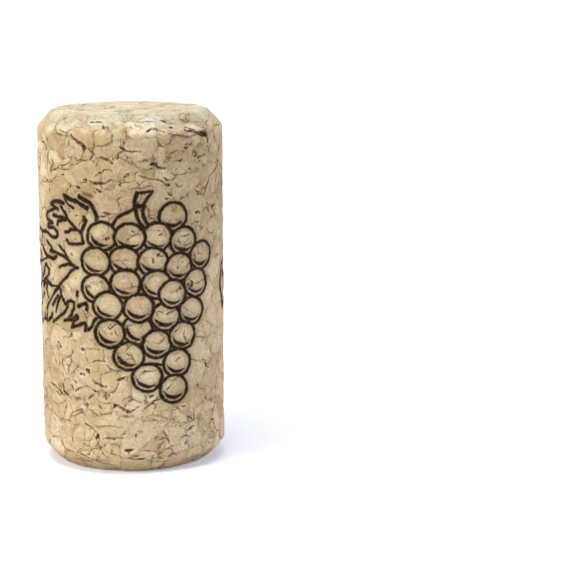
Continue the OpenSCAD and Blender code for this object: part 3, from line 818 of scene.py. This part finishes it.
def berry_group():
    """Ink with one more berry in front: its outline, and a crescent of shade low inside it."""
    sockets = [("At", "Vector"), ("Centre", "Vector"), ("Lit", "Vector"), ("Ink", "Float")]
    n = make_group("berry", sockets, [("Ink", "Float")])
    given = n.add("NodeGroupInput")
    at, centre, lit, ink = (n.out(given, k) for k in range(4))
    off = n.scaled(n.vector("SUBTRACT", at, centre), (1 / PRINT_STRETCH, 1.0, 1.0))
    far = n.length(off)
    outline = n.math("ABSOLUTE", far - BERRY_R) - LINE
    crescent = n.math("MAXIMUM", far - SHADE_R, LIT_R - n.distance(off, lit))
    own = n.math("MINIMUM", outline, crescent)
    covered = n.math("LESS_THAN", far, BERRY_R)
    n.add("NodeGroupOutput", {0: n.choose(covered, n.math("MINIMUM", ink, own), own)})
    return n.tree


def strokes(n, at, lines, group):
    """How far outside the nearest of these lines each place is, in mm."""
    nearest = FAR_MM
    for width, *line in lines:
        points = list(zip(line[::2], line[1::2]))
        for a, b in zip(points, points[1:]):
            inputs = {"At": at, "Start": (a[0], a[1], 0), "Run": (b[0] - a[0], b[1] - a[1], 0)}
            inputs.update({"Width": width, "Nearest": nearest})
            nearest = n.out(n.add("ShaderNodeGroup", inputs, node_tree=group))
    return nearest


def print_edge(n, place):
    """How far outside the print's ink the surface is, in mm; negative in the ink."""
    x, y, z = n.parts(place)
    turn = n.math("ARCTAN2", x, y * -1.0)
    across = n.math("WRAP", turn, math.radians(PRINT_END), math.radians(PRINT_START)) * SIDE_R
    shake = n.vector("SUBTRACT", n.noise(place, 0.9, 2.0, key="Color"), (0.5, 0.5, 0.5))
    at = n.vector("MULTIPLY_ADD", shake, (0.3, 0.3, 0.0), n.joined(across, z, 0.0))
    at = n.scaled(at, (1, 1, 0))
    ink = strokes(n, at, LEAF + STEM, stroke_group())
    berry = berry_group()
    for arc, z, side, thick in BERRIES:
        away = LIT_R - SHADE_R + thick
        lit = (-away * math.cos(math.radians(side)), -away * math.sin(math.radians(side)), 0)
        inputs = {"At": at, "Centre": (arc, z, 0), "Lit": lit, "Ink": ink}
        ink = n.out(n.add("ShaderNodeGroup", inputs, node_tree=berry))
    return ink


# ---- the cork's material


def ramp(n, factor, stops):
    """A colour for each value of factor, from (value, colour) stops."""
    node = n.add("ShaderNodeValToRGB", {0: factor})
    elements = node.color_ramp.elements
    while len(elements) < len(stops):
        elements.new(0.5)
    for element, (at, colour) in zip(elements, stops):
        element.position = at
        element.color = colour
    return n.out(node)


GRANULE_COLOURS = [
    (0.0, srgb(190, 166, 122)), (0.13, srgb(218, 196, 154)), (0.3, srgb(214, 197, 153)),
    (0.42, srgb(230, 208, 166)), (0.56, srgb(212, 184, 146)), (0.7, srgb(220, 202, 160)),
    (0.86, srgb(236, 220, 182)), (1.0, srgb(196, 174, 130)),
]
CELL_DARK, CELL_PALE = srgb(166, 132, 86), srgb(244, 228, 192)
CLOUD_DARK, CLOUD_PALE = srgb(174, 142, 100), srgb(240, 224, 188)
FINE_DARK, FINE_PALE = srgb(158, 122, 78), srgb(246, 232, 200)
FLECK, OCHRE, AMBER, BARK = srgb(150, 112, 68), srgb(204, 182, 120), srgb(152, 102, 42), srgb(104, 76, 52)
# Beside the seams: a pale band, partly a painted highlight; painted shade; and the seams' own brown
SEAM_PALE_AND_HIGHLIGHT, SEAM_SHADE, SEAM = srgb(246, 232, 198), srgb(168, 132, 86), srgb(122, 86, 48)
CRACK_EDGE, CRACK = srgb(112, 76, 40), srgb(60, 38, 18)
# Beside the ink lies a painted highlight
INK_BLEED, INK_HIGHLIGHT, INK = srgb(116, 86, 52), srgb(248, 238, 204), srgb(34, 19, 9)
# What the colours are multiplied by on the ends, at the foot, and on the upper side as painted shade
ENDS_TONE, FOOT_TONE, UPPER_SHADE = (0.92, 1.04, 1.22, 1.0), (0.9, 0.84, 0.79, 1.0), (0.83, 0.815, 0.76, 1.0)
DOTS_PER_MM = 1.1


def paint_granules(n, place, grain):
    """The granules' colour, with how far their cells stand up, in mm."""
    seed_a, _, seed_c = grain["seed"]
    colour = ramp(n, seed_c, GRANULE_COLOURS)
    # Rows of cells run through each granule in a direction of its own.
    turned = n.add("ShaderNodeVectorRotate", {"Vector": grain["inside"], "Axis": grain["seeds"],
                                              "Angle": seed_a * 12.0})
    rows = n.noise(n.scaled(n.out(turned), (5.5, 0.7, 1.4)), 1.0, 3.0, 0.7)
    colour = n.tint(n.smooth(rows, 0.42, 0.75, 0.0, 0.5), colour, CELL_DARK)
    colour = n.tint(n.smooth(rows, 0.25, 0.42, 0.35, 0.0), colour, CELL_PALE)
    clouds = n.noise(place, 0.8, 3.0, 0.65)
    colour = n.tint(n.smooth(clouds, 0.48, 0.75, 0.0, 0.5), colour, CLOUD_PALE)
    colour = n.tint(n.smooth(clouds, 0.2, 0.45, 0.4, 0.0), colour, CLOUD_DARK)
    fine = n.noise(place, 3.6, 4.0, 0.8)
    colour = n.tint(n.smooth(fine, 0.5, 0.72, 0.0, 0.75), colour, FINE_DARK)
    colour = n.tint(n.smooth(fine, 0.25, 0.46, 0.35, 0.0), colour, FINE_PALE)
    fleck = n.noise(place, 1.1, 3.0, 0.65)
    colour = n.tint(n.smooth(fleck, 0.6, 0.74, 0.0, 0.6), colour, FLECK)
    return colour, rows * 0.09 + fine * 0.07 + clouds * 0.12


def paint_marks(n, place, seam, top, colour):
    """The colour with its seams, cracks, pores and stains, with painted shade and painted highlights beside
    the seams, and how far the marks stand up, in mm.
    """
    dots = n.voronoi(place, DOTS_PER_MM)
    has_dot = n.math("GREATER_THAN", n.parts(n.out(dots, "Color"))[0], 0.86)
    dot = n.smooth(n.out(dots) * (1 / DOTS_PER_MM), 0.04, 0.15, 0.8, 0.0) * has_dot

    # Most seams are shut and show as thin brown lines, and here and there one stands open.
    strength = n.noise(place, 0.7, 2.0, 0.7)
    shut = n.smooth(seam, 0.02, 0.11, 1.0, 0.0) * n.smooth(strength, 0.45, 0.65, 0.05, 0.85)
    shut = shut * n.smooth(top, 0.0, 1.0, 1.0, 0.6)
    broken = n.noise(place, 1.1, 4.0, 0.75)
    width = n.smooth(broken, 0.55, 0.8, 0.0, 0.16)
    crack = n.smooth(seam - width, -0.05, 0.05, 1.0, 0.0) * n.smooth(broken, 0.56, 0.64)
    # Pale bands beside open seams: partly the cork's lighter broken edges, partly a painted highlight
    edge_pale_and_highlight = n.smooth(seam, 0.1, 0.2) * n.smooth(seam, 0.2, 0.4, 1.0, 0.0) * n.smooth(broken, 0.52, 0.64)

    # The marks that the mesh holds, with ragged edges and a pale band round them, partly a painted
    # highlight
    ragged = (n.noise(place, 5.0, 3.0, 0.7) - 0.5) * 0.36
    drawn = n.field("gape") + ragged
    mottle = n.noise(place, 2.4, 3.0, 0.7)
    brown = n.smooth(drawn, -0.14, 0.03) * n.smooth(mottle, 0.4, 0.56, 0.5, 1.0)
    crack = n.math("MAXIMUM", crack, n.smooth(drawn, -0.02, 0.16) * n.smooth(mottle, 0.4, 0.56, 0.3, 1.0))
    edge_pale_and_highlight = n.math("MAXIMUM", edge_pale_and_highlight, n.smooth(drawn, -0.4, -0.16) * n.smooth(drawn, -0.14, -0.04, 1.0, 0.0))
    shut = n.math("MAXIMUM", shut, n.smooth(n.field("crease") + ragged, -0.1, 0.08, 0.0, 0.85))

    spread = n.smooth(mottle, 0.35, 0.65, 0.5, 1.3)
    colour = n.tint(n.field("ochre") * 0.7, colour, OCHRE)
    amber = n.math("MINIMUM", n.field("amber") * spread, 0.9)
    bark = n.math("MINIMUM", n.field("bark") * spread, 0.9)
    colour = n.tint(amber, colour, AMBER)
    colour = n.tint(bark, colour, BARK)
    # Partly painted highlight: the pale bands beside open seams and marks
    colour = n.tint(edge_pale_and_highlight * n.smooth(strength, 0.35, 0.65, 0.1, 0.5), colour, SEAM_PALE_AND_HIGHLIGHT)
    # Painted shade: a soft darker band along each seam rounds the granules
    colour = n.tint(n.smooth(seam, 0.0, 0.6, 0.22, 0.0), colour, SEAM_SHADE)
    colour = n.tint(shut, colour, SEAM)
    colour = n.tint(n.math("MAXIMUM", brown, dot) * 0.8, colour, CRACK_EDGE)
    colour = n.tint(crack * 0.9, colour, CRACK)
    return colour, crack * -0.15 + brown * -0.1 + shut * -0.1 + dot * -0.1


def paint_tones_and_shade(n, x, z, top, colour):
    """The ends are paler and greyer than the side, the foot is darker and browner, and the upper
    side, away from its left, is darkened as painted shade."""
    colour = n.tint(top, colour, ENDS_TONE, "MULTIPLY")
    colour = n.tint(n.smooth(z, 0.5, 3.0, 1.0, 0.0), colour, FOOT_TONE, "MULTIPLY")
    # Painted shade: the upper side is darkened, except at its left
    upper = n.smooth(z, 20.0, 31.0) * n.smooth(z, LENGTH - 3.2, LENGTH - 1.5, 1.0, 0.0)
    return n.tint(upper * n.smooth(x, -9.5, -4.0), colour, UPPER_SHADE, "MULTIPLY")


def paint_print(n, place, colour):
    """The print's ink, which has rough edges, bled a little into the cork and covers unevenly, with a
    painted highlight in a thin pale band beside it.
    """
    edge = print_edge(n, place) + (n.noise(place, 3.6, 3.0, 0.7) - 0.5) * 0.32
    colour = n.tint(n.smooth(edge, 0.0, 0.62, 0.44, 0.0), colour, INK_BLEED)
    # Painted highlight: a thin pale band just outside the ink
    highlight_band = n.smooth(edge, 0.04, 0.14) * n.smooth(edge, 0.16, 0.36, 1.0, 0.0)
    colour = n.tint(highlight_band * 0.14, colour, INK_HIGHLIGHT)
    ink = n.smooth(edge, -0.11, 0.08, 1.0, 0.0)
    cover = n.smooth(n.noise(place, 1.7, 4.0, 0.75), 0.46, 0.74, 1.0, 0.84)
    return n.tint(ink * cover, colour, INK)


def make_material():
    material, n = empty_material("cork")
    place = n.out(n.add("ShaderNodeAttribute", attribute_name="rest"), "Vector")
    grain = granules(n, place)
    colour, cells = paint_granules(n, place, grain)
    x, _, z = n.parts(place)
    top = n.smooth(z, LENGTH - 2.4, LENGTH - 0.4)  # 1 on the top face, 0 below its chamfer
    colour, marks = paint_marks(n, place, grain["seam"], top, colour)
    colour = paint_tones_and_shade(n, x, z, top, colour)
    colour = paint_print(n, place, colour)
    bump = n.add("ShaderNodeBump", {"Strength": 1.0, "Distance": MM, "Height": marks + cells})
    shader = n.add("ShaderNodeBsdfPrincipled", {"Base Color": colour, "Normal": n.out(bump)})
    shader.inputs["Roughness"].default_value = 0.8
    shader.inputs["Specular IOR Level"].default_value = 0.1
    show(n, shader)
    return material


# ---- the floor and the surround

FLOOR_REACH = 4.0  # m, from the cork to the floor's edge
FLOOR_LIFT = 0.25
WORLD_LIGHT = 0.15


def seen(n):
    """1 for a ray from the camera, off gloss or through glass, and 0 for light on the cork."""
    path = n.add("ShaderNodeLightPath")
    return n.out(path, "Is Camera Ray") + n.out(path, "Is Glossy Ray") + n.out(path, "Is Transmission Ray")


def make_floor():
    """A pale floor that looks white, and keeps the cork's shadow."""
    mesh = bpy.data.meshes.new("floor")
    corners = [(-1, -1, 0), (1, -1, 0), (1, 1, 0), (-1, 1, 0)]
    mesh.from_pydata([Vector(corner) * FLOOR_REACH for corner in corners], [], [(0, 1, 2, 3)])
    floor = bpy.data.objects.new("floor", mesh)
    bpy.context.scene.collection.objects.link(floor)
    material, n = empty_material("floor")
    matt = n.add("ShaderNodeBsdfDiffuse", {"Color": (0.78, 0.8, 0.87, 1)})
    glow = n.add("ShaderNodeEmission", {"Color": (1, 1, 1, 1), "Strength": seen(n) * FLOOR_LIFT})
    both = n.add("ShaderNodeAddShader")
    n.tree.links.new(matt.outputs[0], both.inputs[0])
    n.tree.links.new(glow.outputs[0], both.inputs[1])
    show(n, both)
    mesh.materials.append(material)


def make_world():
    """An even pale surround, white where the camera sees it."""
    world = bpy.data.worlds.new("surround")
    bpy.context.scene.world = world
    world.use_nodes = True
    world.node_tree.nodes.clear()
    n = Nodes(world.node_tree)
    strength = n.choose(n.math("MINIMUM", seen(n), 1.0), WORLD_LIGHT, 1.0)
    back = n.add("ShaderNodeBackground", {"Color": (1, 1, 1, 1), "Strength": strength})
    show(n, back, "ShaderNodeOutputWorld")


# ---- put together

bpy.context.scene.view_settings.view_transform = "Standard"
make_camera()
make_world()
make_floor()
for lamp in LAMPS:
    make_light(*lamp)

cork = make_blank()
add_relief(cork)
cork.data.materials.append(make_material())
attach(cork, "root")
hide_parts("cork")
